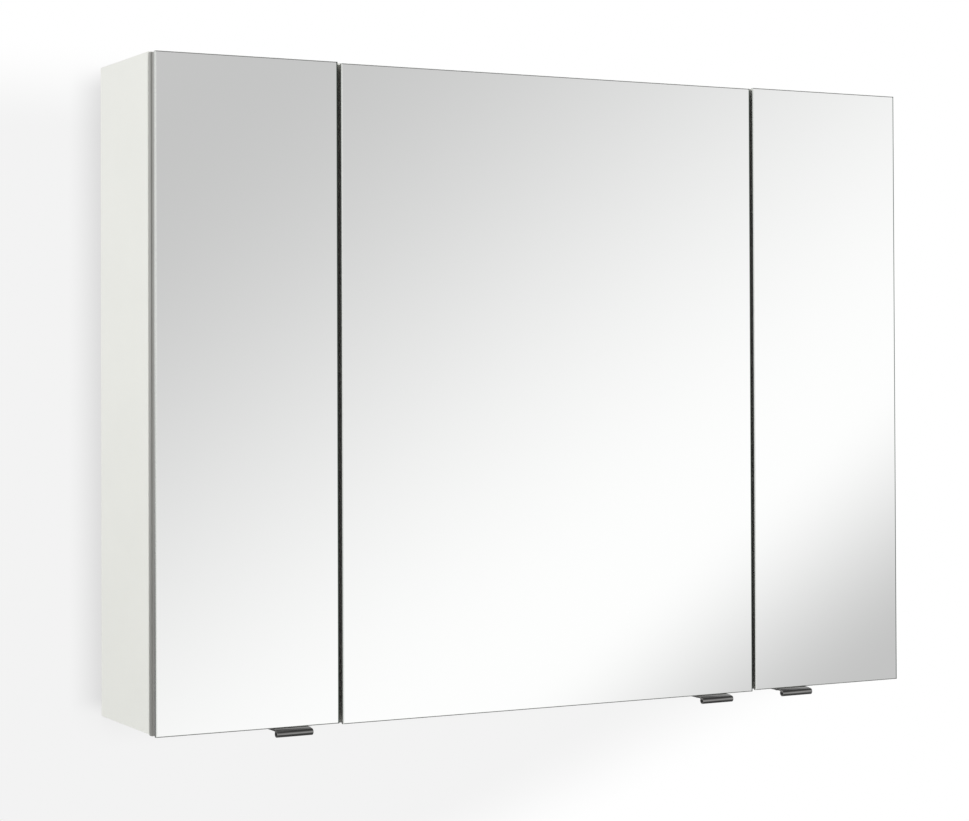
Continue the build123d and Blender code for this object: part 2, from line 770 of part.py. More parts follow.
# Mounting plate: a winged base on the panel with a block that fills the arm's channel
def mounting_plate(face_u):
    block_middle = (arm_length - block_length / 2, 0)
    with BuildPart() as plate:
        with BuildSketch(Plane.YZ.offset(face_u)):
            with Locations(block_middle):
                Rectangle(block_length, 2 * arm_half_width)
            with Locations((wing_screw_from_front, 0)):
                RectangleRounded(wing_width, 2 * wing_reach, wing_corner)
            with Locations(*wing_screw_points):
                Circle(hinge_screw_radius + fit, mode=Mode.SUBTRACT)
        extrude(amount=wing_thickness)
        with BuildSketch(Plane.YZ.offset(face_u + wing_thickness)):
            with Locations(block_middle):
                Rectangle(block_length, 2 * (arm_layer - block_play))
        extrude(amount=arm_top_u - arm_sheet - face_u - wing_thickness)
        with BuildSketch(Plane.YZ.offset(arm_top_u - arm_sheet)):
            with Locations(*arm_screw_points):
                Circle(hinge_screw_radius + fit)
        extrude(amount=-arm_rise, mode=Mode.SUBTRACT)
    return plate


def cross(points):
    """Cross slots of the sketch that is being drawn, for screw heads at the points."""
    with Locations(*points):
        Rectangle(cross_length, cross_width)
        Rectangle(cross_width, cross_length)


# Screws of one hinge: two in the plate's wings, two through the arm
def hinge_screws(face_u):
    wing_top = face_u + wing_thickness
    with BuildPart() as screws:
        for level, points, length in (
            (wing_top, wing_screw_points, hinge_screw_length),
            (arm_top_u, arm_screw_points, arm_screw_length),
        ):
            with BuildSketch(Plane.YZ.offset(level)):
                with Locations(*points):
                    Circle(hinge_screw_radius)
            extrude(amount=-length)
            with BuildSketch(Plane.YZ.offset(level)):
                with Locations(*points):
                    Circle(hinge_screw_head_radius)
            extrude(amount=hinge_screw_head_height)
            with BuildSketch(Plane.YZ.offset(level + hinge_screw_head_height)):
                cross(points)
            extrude(amount=-cross_depth, mode=Mode.SUBTRACT)
    return screws


def place_hinge_pieces(name, pieces, door):
    """Copy hinge pieces to both hinges of a door and write them as one node."""
    _, edge_x, way, _, drop, _, _ = door
    with BuildPart() as group:
        with Locations(*[(edge_x, front_y, z) for z in hinge_levels(drop)]):
            for piece in pieces:
                add(piece if way > 0 else mirror(piece, about=Plane.YZ, mode=Mode.PRIVATE))
    save(group, name)


# Doors
def edge_strips(low_x, high_x, low_z, high_z):
    """Four mitred strips round a door's core and rear mirror, each with a recess behind the glass."""
    t = edge_strip_thickness
    depth = core_thickness + rear_mirror_thickness
    corners = [(low_x, low_z), (high_x, low_z), (high_x, high_z), (low_x, high_z)]
    inner = [
        (low_x + t, low_z + t),
        (high_x - t, low_z + t),
        (high_x - t, high_z - t),
        (low_x + t, high_z - t),
    ]
    strips = []
    for index in range(4):
        following = (index + 1) % 4
        with BuildPart() as strip:
            with BuildSketch(Plane.XZ.offset(-door_rear_y)):
                with BuildLine():
                    Polyline(
                        corners[index], corners[following], inner[following], inner[index], close=True
                    )
                make_face()
            extrude(amount=depth)
            with BuildSketch(Plane.XZ.offset(-core_front_y)):
                with Locations(((low_x + high_x) / 2, (low_z + high_z) / 2)):
                    Rectangle(high_x - low_x + cutter_spare, high_z - low_z + cutter_spare)
                    Rectangle(
                        high_x - low_x - 2 * recess_depth,
                        high_z - low_z - 2 * recess_depth,
                        mode=Mode.SUBTRACT,
                    )
            extrude(amount=-recess_width, mode=Mode.SUBTRACT)
        strips.append(strip.part)
    return strips


def handle_section(low_z):
    """The handle's outline under a door: bracket, neck and bar. Local X is Y, local Y is Z."""
    bar_y = door_front_y - bar_forward
    bar_z = low_z - bar_below
    neck_y = door_front_y - bar_forward / 2
    with BuildLine() as outline:
        Polyline(
            (door_front_y + bracket_depth, low_z),
            (neck_y, low_z),
            (bar_y, bar_z + bar_radius),
            (bar_y, bar_z),
            (neck_y + bracket_thickness, low_z - bracket_thickness),
            (door_front_y + bracket_depth, low_z - bracket_thickness),
            close=True,
        )
    make_face(outline.edges())
    with Locations((bar_y, bar_z)):
        Circle(bar_radius)


def build_door(door):
    name, edge_x, way, width, drop, face_u, handle_place = door
    far_x = edge_x + way * width
    low_x, high_x = min(edge_x, far_x), max(edge_x, far_x)
    high_z = side_door_top - drop
    low_z = high_z - door_height
    centre = ((low_x + high_x) / 2, (low_z + high_z) / 2)
    levels = hinge_levels(drop)
    cup_points = [(edge_x + way * cup_centre, z) for z in levels]
    cup_screw_points = [
        (edge_x + way * flange_screws_u, z + s * flange_screw_spacing / 2) for z in levels for s in (-1, 1)
    ]
    cup_screw_depth = hinge_screw_length - flange_thickness - rear_mirror_thickness
    handle_x = far_x - way * handle_place
    handle_screw_y = door_front_y + bracket_depth / 2 + front_mirror_thickness / 2
    handle_screw_points = [(handle_x + s * handle_screw_spacing / 2, handle_screw_y) for s in (-1, 1)]

    with BuildPart() as front_mirror:
        with BuildSketch(Plane.XZ.offset(-core_front_y)):
            with Locations(centre):
                Rectangle(width, door_height)
        extrude(amount=front_mirror_thickness)
        chamfer(front_mirror.faces().sort_by(Axis.Y)[0].edges(), ground_edge)
    save(front_mirror, f"{name}_front_mirror")

    inner_width = width - 2 * edge_strip_thickness
    inner_door_height = door_height - 2 * edge_strip_thickness
    with BuildPart() as core:
        with BuildSketch(Plane.XZ.offset(-core_rear_y)):
            with Locations(centre):
                Rectangle(inner_width, inner_door_height)
        extrude(amount=core_thickness)
        with BuildSketch(Plane.XZ.offset(-core_rear_y)):
            with Locations(*cup_points):
                Circle(cup_radius + fit)
        extrude(amount=cup_depth - rear_mirror_thickness + fit, mode=Mode.SUBTRACT)
        with BuildSketch(Plane.XZ.offset(-core_rear_y)):
            with Locations(*cup_screw_points):
                Circle(hinge_screw_radius + fit)
        extrude(amount=cup_screw_depth + hole_spare, mode=Mode.SUBTRACT)
        with BuildSketch(Plane.XY.offset(low_z + edge_strip_thickness)):
            with Locations(*handle_screw_points):
                Circle(handle_screw_radius + fit)
        extrude(amount=handle_screw_length, mode=Mode.SUBTRACT)
    save(core, f"{name}_door_core")

    with BuildPart() as rear_mirror:
        with BuildSketch(Plane.XZ.offset(-door_rear_y)):
            with Locations(centre):
                Rectangle(inner_width, inner_door_height)
            with Locations(*cup_points):
                Circle(cup_radius + 2 * fit, mode=Mode.SUBTRACT)
            with Locations(*cup_screw_points):
                Circle(hinge_screw_radius + 2 * fit, mode=Mode.SUBTRACT)
        extrude(amount=rear_mirror_thickness)
    save(rear_mirror, f"{name}_rear_mirror")

    strips = edge_strips(low_x, high_x, low_z, high_z)
    with BuildPart() as holes:
        with BuildSketch(Plane.XY.offset(low_z)):
            with Locations(*handle_screw_points):
                Circle(handle_screw_radius + fit)
        extrude(amount=edge_strip_thickness)
    edging = Compound(children=[strips[0] - holes.part, *strips[1:]])
    edging.label = f"{name}_door_edging"
    export_step(edging, f"parts/{name}_door_edging.step")

    with BuildPart() as handle:
        with BuildSketch(Plane.YZ.offset(handle_x - handle_length / 2)):
            handle_section(low_z)
        extrude(amount=handle_length)
        chamfer(handle.faces().filter_by(Axis.X).edges(), handle_end_chamfer)
        with BuildSketch(Plane.XY.offset(low_z)):
            with Locations(*handle_screw_points):
                Circle(handle_screw_radius + fit)
        extrude(amount=-bracket_thickness, mode=Mode.SUBTRACT)
    save(handle, f"{name}_handle")

    with BuildPart() as screws:
        with BuildSketch(Plane.XY.offset(low_z - bracket_thickness)):
            with Locations(*handle_screw_points):
                Circle(handle_screw_radius)
        extrude(amount=handle_screw_length)
        with BuildSketch(Plane.XY.offset(low_z - bracket_thickness)):
            with Locations(*handle_screw_points):
                Circle(handle_screw_head_radius)
        extrude(amount=-handle_screw_head_height)
        with BuildSketch(Plane.XY.offset(low_z - bracket_thickness - handle_screw_head_height)):
            cross(handle_screw_points)
        extrude(amount=cross_depth, mode=Mode.SUBTRACT)
        with BuildSketch(Plane.XZ.offset(-door_rear_y - flange_thickness)):
            with Locations(*cup_screw_points):
                Circle(hinge_screw_radius)
        extrude(amount=hinge_screw_length)
        with BuildSketch(Plane.XZ.offset(-door_rear_y - flange_thickness)):
            with Locations(*cup_screw_points):
                Circle(hinge_screw_head_radius)
        extrude(amount=-hinge_screw_head_height)
        with BuildSketch(Plane.XZ.offset(-door_rear_y - flange_thickness - hinge_screw_head_height)):
            cross(cup_screw_points)
        extrude(amount=cross_depth, mode=Mode.SUBTRACT)
    save(screws, f"{name}_door_screws")

    place_hinge_pieces(f"{name}_hinge_cups", [cup.part, cup_pins.part], door)
    place_hinge_pieces(f"{name}_outer_links", [outer_link.part], door)
    place_hinge_pieces(f"{name}_inner_links", [inner_link.part], door)
    place_hinge_pieces(f"{name}_hinge_arms", [arm.part, arm_pins.part], door)
    place_hinge_pieces(f"{name}_hinge_plates", [mounting_plate(face_u).part], door)
    place_hinge_pieces(f"{name}_hinge_screws", [hinge_screws(face_u).part], door)


for door in doors:
    build_door(door)
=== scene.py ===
import math

import bmesh
import bpy
from mathutils import Matrix, Vector


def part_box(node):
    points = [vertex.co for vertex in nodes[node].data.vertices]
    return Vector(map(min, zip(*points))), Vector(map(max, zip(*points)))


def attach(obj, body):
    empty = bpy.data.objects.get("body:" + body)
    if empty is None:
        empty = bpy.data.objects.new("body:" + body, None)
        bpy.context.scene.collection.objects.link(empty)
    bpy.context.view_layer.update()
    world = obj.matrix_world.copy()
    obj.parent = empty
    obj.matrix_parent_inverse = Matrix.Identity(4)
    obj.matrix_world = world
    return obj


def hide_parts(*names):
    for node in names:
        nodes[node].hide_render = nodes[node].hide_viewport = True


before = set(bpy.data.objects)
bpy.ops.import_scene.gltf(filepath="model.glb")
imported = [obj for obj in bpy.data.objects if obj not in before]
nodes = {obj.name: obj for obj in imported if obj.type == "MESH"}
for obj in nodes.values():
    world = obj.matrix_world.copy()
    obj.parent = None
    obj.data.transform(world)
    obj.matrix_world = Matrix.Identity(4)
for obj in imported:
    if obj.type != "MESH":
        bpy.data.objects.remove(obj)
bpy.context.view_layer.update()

bl_info = {
    "name": "Mirror cabinet",
    "version": (1, 0, 0),
    "blender": (4, 5, 0),
    "location": "3D View > Sidebar > Cabinet",
    "description": "Dresses a wall-hung mirror cabinet: finishes, fine pieces, studio and camera",
    "category": "Object",
}

DOORS = ("left", "centre", "right")
BOARDS = (
    "left_side_panel",
    "right_side_panel",
    "top_panel",
    "bottom_panel",
    "left_partition",
    "right_partition",
)

# Fine sizes of the finishes and the stage, in metres
EDGE_BAND = 0.001
BAND_JOINT = 0.0002
RAW_EDGE = 0.0004
BOARD_BEVEL = 0.0004
GROUND_EDGE = 0.001
HANDLE_NECK = 0.0045
STAGE_SIZE = 7.0
WALL_CLEARANCE = 0.0005


# Sizes and colours that a user would change
class CabinetFinish(bpy.types.PropertyGroup):
    """Colours and sheen of the cabinet's finishes."""

    board_colour: bpy.props.FloatVectorProperty(
        name="Board colour",
        description="Satin melamine face of the carcass boards",
        subtype="COLOR",
        size=3,
        min=0.0,
        max=1.0,
        default=(0.855, 0.862, 0.815),
    )
    board_roughness: bpy.props.FloatProperty(
        name="Board roughness",
        description="Sheen of the melamine, from gloss at 0 to dull at 1",
        min=0.0,
        max=1.0,
        default=0.38,
    )
    silver_colour: bpy.props.FloatVectorProperty(
        name="Silver colour",
        description="Colour that the mirrors send back",
        subtype="COLOR",
        size=3,
        min=0.0,
        max=1.0,
        default=(0.96, 0.965, 0.96),
    )
    glass_edge_colour: bpy.props.FloatVectorProperty(
        name="Glass edge colour",
        description="Ground edge of the mirror glass",
        subtype="COLOR",
        size=3,
        min=0.0,
        max=1.0,
        default=(0.80, 0.82, 0.79),
    )
    edging_colour: bpy.props.FloatVectorProperty(
        name="Edging colour",
        description="Satin anodised strips round the doors",
        subtype="COLOR",
        size=3,
        min=0.0,
        max=1.0,
        default=(0.50, 0.50, 0.475),
    )
    handle_colour: bpy.props.FloatVectorProperty(
        name="Handle colour",
        description="Polished dark chrome of the handles",
        subtype="COLOR",
        size=3,
        min=0.0,
        max=1.0,
        default=(0.34, 0.335, 0.33),
    )
    handle_bar_radius: bpy.props.FloatProperty(
        name="Handle bar radius",
        description="Radius of the handles' round bars",
        subtype="DISTANCE",
        unit="LENGTH",
        min=0.001,
        default=0.0034,
    )
    handle_plate: bpy.props.FloatProperty(
        name="Handle bracket",
        description="Thickness of the handles' bent brackets",
        subtype="DISTANCE",
        unit="LENGTH",
        min=0.0005,
        default=0.002,
    )
    shelf_tint: bpy.props.FloatVectorProperty(
        name="Shelf tint",
        description="Colour of light that has passed through a shelf",
        subtype="COLOR",
        size=3,
        min=0.0,
        max=1.0,
        default=(0.93, 0.98, 0.955),
    )
    nickel_colour: bpy.props.FloatVectorProperty(
        name="Nickel colour",
        description="Plated steel of the hinges",
        subtype="COLOR",
        size=3,
        min=0.0,
        max=1.0,
        default=(0.62, 0.60, 0.56),
    )
    zinc_colour: bpy.props.FloatVectorProperty(
        name="Zinc colour",
        description="Zinc plate of screws, rail and hooks",
        subtype="COLOR",
        size=3,
        min=0.0,
        max=1.0,
        default=(0.58, 0.60, 0.62),
    )


class CabinetStudio(bpy.types.PropertyGroup):
    """Camera and light of the studio."""

    camera_place: bpy.props.FloatVectorProperty(
        name="Camera place",
        description="Where the camera stands, in the cabinet's frame",
        subtype="TRANSLATION",
        unit="LENGTH",
        size=3,
        default=(-1.24636, -2.36014, -0.25316),
    )
    camera_turn: bpy.props.FloatProperty(
        name="Camera turn",
        description="Turn of the camera to its right from straight at the wall",
        subtype="ANGLE",
        default=0.4861,
    )
    camera_tilt: bpy.props.FloatProperty(
        name="Camera tilt",
        description="Tilt of the camera above the level",
        subtype="ANGLE",
        default=0.0136,
    )
    camera_roll: bpy.props.FloatProperty(
        name="Camera roll",
        description="Roll of the camera about its own line of sight",
        subtype="ANGLE",
        default=-0.0036,
    )
    lens: bpy.props.FloatProperty(
        name="Lens",
        description="Focal length on a 36 mm wide sensor",
        subtype="DISTANCE_CAMERA",
        min=1.0,
        default=87.93,
    )
    shift: bpy.props.FloatProperty(
        name="Shift",
        description="Vertical shift of the picture, as a share of its width",
        default=-0.0756,
    )
    fill: bpy.props.FloatProperty(
        name="Fill light",
        description="Strength of the even light from all round",
        min=0.0,
        default=1.0,
    )
    key: bpy.props.FloatProperty(
        name="Key light",
        description="Power of the large lamp at the front right",
        subtype="POWER",
        min=0.0,
        default=26.0,
    )
    floor_level: bpy.props.FloatProperty(
        name="Floor level",
        description="Height of the floor in the cabinet's frame, whose origin is at the wall rail",
        subtype="DISTANCE",
        unit="LENGTH",
        default=-1.6,
    )


# Node trees
def new_material(name):
    """An empty node material with one Principled shader."""
    material = bpy.data.materials.new(name)
    material.use_nodes = True
    shader = material.node_tree.nodes["Principled BSDF"]
    return material, shader


def add(owner, kind, inputs=None, **settings):
    """Add a node to an owner's tree, set its settings, and set or link its inputs."""
    made = owner.node_tree.nodes.new(kind)
    for name, value in settings.items():
        setattr(made, name, value)
    for name, value in (inputs or {}).items():
        put(owner, made.inputs[name], value)
    return made


def put(owner, socket, value):
    """Link a socket to another node's socket, or set it to a plain value."""
    if isinstance(value, bpy.types.NodeSocket):
        owner.node_tree.links.new(value, socket)
    else:
        socket.default_value = value


def colour(values):
    """A colour with full alpha."""
    return (*values, 1.0)


def place(owner):
    """Object coordinates, in metres."""
    return add(owner, "ShaderNodeTexCoord").outputs["Object"]


def parts_of(owner, vector):
    """The X, Y and Z sockets of a vector."""
    split = add(owner, "ShaderNodeSeparateXYZ", {0: vector})
    return split.outputs[0], split.outputs[1], split.outputs[2]


def sums(owner, operation, *values):
    """The result of a Math node."""
    inputs = {index: value for index, value in enumerate(values)}
    return add(owner, "ShaderNodeMath", inputs, operation=operation).outputs[0]


def ramp(owner, value, low, high, to_low=0.0, to_high=1.0, smooth=True):
    """Map a value from one range to another, with soft ends."""
    inputs = {0: value, 1: low, 2: high, 3: to_low, 4: to_high}
    kind = "SMOOTHSTEP" if smooth else "LINEAR"
    return add(owner, "ShaderNodeMapRange", inputs, interpolation_type=kind).outputs[0]


def blend(owner, share, first, second):
    """Mix two values by a share."""
    return add(owner, "ShaderNodeMix", {0: share, 2: first, 3: second}).outputs[0]


def mix_colours(owner, share, first, second):
    """Mix two colours by a share."""
    made = add(owner, "ShaderNodeMix", data_type="RGBA")
    put(owner, made.inputs[0], share)
    put(owner, made.inputs[6], first)
    put(owner, made.inputs[7], second)
    return made.outputs[2]


def noise(owner, vector, scale, detail=2.0, roughness=0.5, stretch=None):
    """A noise value of a given scale per metre, stretched along the axes if asked."""
    if stretch:
        vector = add(owner, "ShaderNodeMapping", {0: vector, 3: stretch}).outputs[0]
    inputs = {"Vector": vector, "Scale": scale, "Detail": detail, "Roughness": roughness}
    return add(owner, "ShaderNodeTexNoise", inputs).outputs[0]


def bump(owner, height, distance, strength=1.0, under=None):
    """Bump from a height value, at a real distance in metres."""
    inputs = {"Strength": strength, "Distance": distance, "Height": height}
    if under is not None:
        inputs["Normal"] = under
    return add(owner, "ShaderNodeBump", inputs).outputs[0]


def shades(owner, value, dark, light, low=0.3, high=0.7):
    """A colour between two by a value."""
    return mix_colours(owner, ramp(owner, value, low, high), colour(dark), colour(light))


def times(values, share):
    """A colour times a share."""
    return tuple(v * share for v in values)


def give(material, *names):
    """Put a material on CAD nodes."""
    for name in names:
        slots = nodes[name].material_slots
        if not slots:
            nodes[name].data.materials.append(material)
        for slot in slots:
            slot.material = material


def soften(width, *names):
    """Take the sharp edges off CAD nodes with a fine bevel."""
    for name in names:
        join = nodes[name].modifiers.new("joined_corners", "WELD")
        join.merge_threshold = 0.000002
        edge = nodes[name].modifiers.new("soft_edges", "BEVEL")
        edge.width = width
        edge.segments = 2
        edge.limit_method = "ANGLE"
        edge.angle_limit = math.radians(40.0)
        edge.harden_normals = True


# Finishes
def melamine(finish):
    """Satin white melamine board with an edge band on its front edge and a raw rear edge."""
    material, shader = new_material("satin_melamine")
    panel_low, panel_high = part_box("left_side_panel")
    joint_y, rear_y = panel_low[1] + EDGE_BAND, panel_high[1]
    soft = BAND_JOINT / 4
    here = place(material)
    _, y, _ = parts_of(material, here)
    cloud = noise(material, here, 9.0, 3.0)
    pearl = noise(material, here, 900.0, 2.0)
    fine = noise(material, here, 2600.0, 1.0)
    face = shades(material, cloud, times(finish.board_colour, 0.985), finish.board_colour)
    band_joint = sums(
        material,
        "MULTIPLY",
        ramp(material, y, joint_y - soft, joint_y + soft),
        ramp(material, y, joint_y + BAND_JOINT + soft, joint_y + BAND_JOINT - soft),
    )
    joint_share = sums(material, "MULTIPLY", band_joint, 0.35)
    jointed = mix_colours(material, joint_share, face, colour((0.45, 0.44, 0.40)))
    chips = noise(material, here, 420.0, 4.0, 0.65)
    raw = shades(material, chips, (0.42, 0.30, 0.18), (0.70, 0.56, 0.38), 0.35, 0.65)
    rear = ramp(material, y, rear_y - RAW_EDGE, rear_y - RAW_EDGE / 4)
    put(material, shader.inputs["Base Color"], mix_colours(material, rear, jointed, raw))
    sheen = finish.board_roughness
    rough = ramp(material, pearl, 0.3, 0.7, sheen - 0.04, sheen + 0.05)
    rougher_rear = sums(material, "MULTIPLY", rear, 0.4)
    put(material, shader.inputs["Roughness"], sums(material, "ADD", rough, rougher_rear))
    skin = bump(material, pearl, 0.00002, 0.35)
    skin = bump(material, fine, 0.000006, 0.3, skin)
    sawn = sums(material, "MULTIPLY", chips, rear)
    put(material, shader.inputs["Normal"], bump(material, sawn, 0.0003, 0.6, skin))
    shader.inputs["Specular IOR Level"].default_value = 0.45
    return material


def hardboard(finish):
    """Hardboard back: lacquered white inside, brown and felted towards the wall."""
    material, shader = new_material("lacquered_hardboard")
    rear_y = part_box("back_panel")[1][1]
    here = place(material)
    _, y, _ = parts_of(material, here)
    felt = noise(material, here, 700.0, 5.0, 0.7, (1.0, 1.0, 0.35))
    speck = noise(material, here, 2400.0, 2.0, 0.6)
    cloud = noise(material, here, 6.0, 3.0)
    brown = shades(material, felt, (0.16, 0.095, 0.05), (0.34, 0.22, 0.125), 0.3, 0.72)
    flecks = ramp(material, speck, 0.62, 0.7)
    flecked = mix_colours(material, flecks, brown, colour((0.46, 0.33, 0.2)))
    white = shades(material, cloud, times(finish.board_colour, 0.97), finish.board_colour)
    rear = ramp(material, y, rear_y - 0.0015, rear_y - 0.0005)
    put(material, shader.inputs["Base Color"], mix_colours(material, rear, white, flecked))
    put(material, shader.inputs["Roughness"], ramp(material, rear, 0.0, 1.0, 0.42, 0.8))
    relief = sums(material, "MULTIPLY", sums(material, "ADD", felt, speck), rear)
    skin = bump(material, noise(material, here, 1200.0), 0.00001, 0.3)
    put(material, shader.inputs["Normal"], bump(material, relief, 0.00025, 0.55, skin))
    return material


def mirror_glass(finish, node, silver_y, way):
    """Silvered glass: a mirror on its face, ground glass on its edges, and at the right edge a painted dark
    line and painted shade on the chamfer, standing in for the ground edge seen through the glass.
    """
    material, shader = new_material(f"silvered_glass_{node}")
    here = place(material)
    x, y, _ = parts_of(material, here)
    depth = sums(material, "MULTIPLY", sums(material, "SUBTRACT", y, silver_y), -way)
    edge = ramp(material, depth, 0.00003, 0.00012)
    # Painted shade: a dark green line just inside the right edge and over the right chamfer, standing in for
    # the ground edge seen through the glass and the shaded chamfer
    ground_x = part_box(node)[1][0] - GROUND_EDGE
    line_start, line_full = ground_x - 0.0011, ground_x - 0.0006
    painted_edge_shade = ramp(material, x, line_start, line_full)
    edge_and_painted_shade = sums(material, "MAXIMUM", edge, painted_edge_shade)
    ground = noise(material, here, 1800.0, 2.0)
    dust = noise(material, here, 35.0, 4.0, 0.7)
    glass = shades(material, ground, times(finish.glass_edge_colour, 0.8), finish.glass_edge_colour)
    glass_and_painted_shade = mix_colours(material, painted_edge_shade, glass, colour((0.11, 0.14, 0.12)))
    tone = mix_colours(material, edge_and_painted_shade, colour(finish.silver_colour), glass_and_painted_shade)
    put(material, shader.inputs["Base Color"], tone)
    put(material, shader.inputs["Metallic"], ramp(material, edge, 0.0, 1.0, 1.0, 0.85))
    clean = ramp(material, dust, 0.35, 0.75, 0.0, 0.012)
    frosted = sums(material, "MULTIPLY", edge, 0.14)
    put(material, shader.inputs["Roughness"], sums(material, "ADD", clean, frosted))
    grind = bump(material, sums(material, "MULTIPLY", ground, edge), 0.00002, 0.4)
    put(material, shader.inputs["Normal"], grind)
    return material


def anodised(finish, glass_y):
    """Satin anodised aluminium, drawn along its length, with painted shade in the recess behind the glass
    and a painted highlight along the rear lip.
    """
    material, shader = new_material("satin_anodised_strip")
    recess_end, soft = glass_y + 0.009, 0.0005
    lip_start, lip_full = glass_y + 0.0130, glass_y + 0.0145
    here = place(material)
    across = noise(material, here, 1.0, 3.0, 0.6, (2600.0, 2600.0, 6.0))
    along = noise(material, here, 1.0, 3.0, 0.6, (6.0, 2600.0, 2600.0))
    drawn = sums(material, "MULTIPLY", sums(material, "ADD", across, along), 0.5)
    cloud = noise(material, here, 14.0, 2.0)
    tone = sums(material, "MULTIPLY", sums(material, "ADD", drawn, cloud), 0.5)
    _, y, _ = parts_of(material, here)
    # Painted shade: a darker colour in the recess behind the glass
    recess = ramp(material, y, recess_end + soft, recess_end - soft)
    strip = finish.edging_colour
    dull = shades(material, tone, times(strip, 0.84), times(strip, 0.92))
    plain = shades(material, tone, times(strip, 0.92), strip)
    # Painted highlight: a brighter band along the rear lip of the strip
    painted_lip_highlight = ramp(material, y, lip_start, lip_full)
    bright = shades(material, tone, times(strip, 1.25), times(strip, 1.35))
    plain = mix_colours(material, painted_lip_highlight, plain, bright)
    put(material, shader.inputs["Base Color"], mix_colours(material, recess, plain, dull))
    shader.inputs["Metallic"].default_value = 0.75
    put(material, shader.inputs["Roughness"], ramp(material, drawn, 0.3, 0.7, 0.34, 0.46))
    put(material, shader.inputs["Normal"], bump(material, drawn, 0.00001, 0.5))
    return material


def plated(name, tone, low, high, scale, depth, metallic=1.0):
    """Plated metal with a fine skin and slightly uneven sheen."""
    material, shader = new_material(name)
    here = place(material)
    skin = noise(material, here, scale, 3.0, 0.6)
    cloud = noise(material, here, 60.0, 3.0)
    put(material, shader.inputs["Base Color"], shades(material, cloud, times(tone, 0.9), tone))
    put(material, shader.inputs["Roughness"], ramp(material, cloud, 0.3, 0.7, low, high))
    put(material, shader.inputs["Normal"], bump(material, skin, depth, 0.5))
    shader.inputs["Metallic"].default_value = metallic
    return material


def galvanised(finish):
    """Galvanised strip with its spangle."""
    material, shader = new_material("galvanised_strip")
    here = place(material)
    cells = add(material, "ShaderNodeTexVoronoi", {"Vector": here, "Scale": 190.0})
    spangle = add(material, "ShaderNodeRGBToBW", {0: cells.outputs["Color"]}).outputs[0]
    fine = noise(material, here, 1500.0, 2.0)
    tone = shades(material, spangle, times(finish.zinc_colour, 0.82), finish.zinc_colour, 0.2, 0.8)
    put(material, shader.inputs["Base Color"], tone)
    put(material, shader.inputs["Roughness"], ramp(material, spangle, 0.2, 0.8, 0.3, 0.48))
    put(material, shader.inputs["Normal"], bump(material, fine, 0.00001, 0.5))
    shader.inputs["Metallic"].default_value = 0.9
    return material


def moulded(name, tone, roughness, grain):
    """Moulded plastic with a spark-eroded grain."""
    material, shader = new_material(name)
    here = place(material)
    fine = noise(material, here, grain, 2.0, 0.6)
    cloud = noise(material, here, 40.0, 2.0)
    put(material, shader.inputs["Base Color"], shades(material, cloud, times(tone, 0.96), tone))
    sheen = ramp(material, fine, 0.3, 0.7, roughness - 0.05, roughness + 0.06)
    put(material, shader.inputs["Roughness"], sheen)
    put(material, shader.inputs["Normal"], bump(material, fine, 0.00003, 0.5))
    return material


def shelf_glass(finish):
    """Clear float glass, greener where it is looked into along the sheet."""
    material, shader = new_material("clear_float_glass")
    front_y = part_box("left_lower_shelf")[0][1]
    here = place(material)
    _, y, _ = parts_of(material, here)
    front = ramp(material, y, front_y + 0.0012, front_y + 0.0003)
    ripple = noise(material, here, 11.0, 2.0)
    tint = mix_colours(material, front, colour(finish.shelf_tint), colour((0.42, 0.68, 0.56)))
    put(material, shader.inputs["Base Color"], tint)
    put(material, shader.inputs["Roughness"], ramp(material, front, 0.0, 1.0, 0.0, 0.12))
    put(material, shader.inputs["Normal"], bump(material, ripple, 0.00002, 0.08))
    shader.inputs["Transmission Weight"].default_value = 1.0
    shader.inputs["IOR"].default_value = 1.5
    return material


def board_core():
    """Fine fibreboard, as the door cores show in their bores."""
    material, shader = new_material("fine_fibreboard")
    here = place(material)
    fibre = noise(material, here, 900.0, 5.0, 0.7, (1.0, 0.3, 1.0))
    tone = shades(material, fibre, (0.38, 0.27, 0.16), (0.58, 0.44, 0.28))
    put(material, shader.inputs["Base Color"], tone)
    put(material, shader.inputs["Normal"], bump(material, fibre, 0.0001, 0.5))
    shader.inputs["Roughness"].default_value = 0.85
    return material


def beech():
    """Beech dowel with grain and pressed flutes."""
    material, shader = new_material("fluted_beech")
    here = place(material)
    grain = noise(material, here, 1.0, 4.0, 0.6, (120.0, 900.0, 900.0))
    flecks = noise(material, here, 1600.0, 1.0)
    tone = shades(material, grain, (0.48, 0.31, 0.16), (0.70, 0.51, 0.31))
    put(material, shader.inputs["Base Color"], tone)
    relief = sums(material, "ADD", grain, flecks)
    put(material, shader.inputs["Normal"], bump(material, relief, 0.0002, 0.5))
    shader.inputs["Roughness"].default_value = 0.7
    return material


# Operators, one for each group of like pieces
class CABINET_OT_boards(bpy.types.Operator):
    """Finish the carcass boards and the back"""

    bl_idname = "cabinet.boards"
    bl_label = "Boards"

    def execute(self, context):
        finish = context.scene.cabinet_finish
        give(melamine(finish), *BOARDS)
        give(hardboard(finish), "back_panel")
        give(beech(), "dowels")
        soften(BOARD_BEVEL, *BOARDS)
        return {"FINISHED"}


class CABINET_OT_doors(bpy.types.Operator):
    """Finish the doors: mirrors on both faces, cores and edging strips"""

    bl_idname = "cabinet.doors"
    bl_label = "Doors"

    def execute(self, context):
        finish = context.scene.cabinet_finish
        strip = anodised(finish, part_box("left_front_mirror")[1][1])
        core = board_core()
        for door in DOORS:
            front, rear = f"{door}_front_mirror", f"{door}_rear_mirror"
            give(mirror_glass(finish, front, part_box(front)[0][1], -1.0), front)
            give(mirror_glass(finish, rear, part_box(rear)[1][1], 1.0), rear)
            give(strip, f"{door}_door_edging")
            give(core, f"{door}_door_core")
        return {"FINISHED"}


def points_of(shape):
    """The vertices among what an operator made."""
    return [v for v in shape if isinstance(v, bmesh.types.BMVert)]


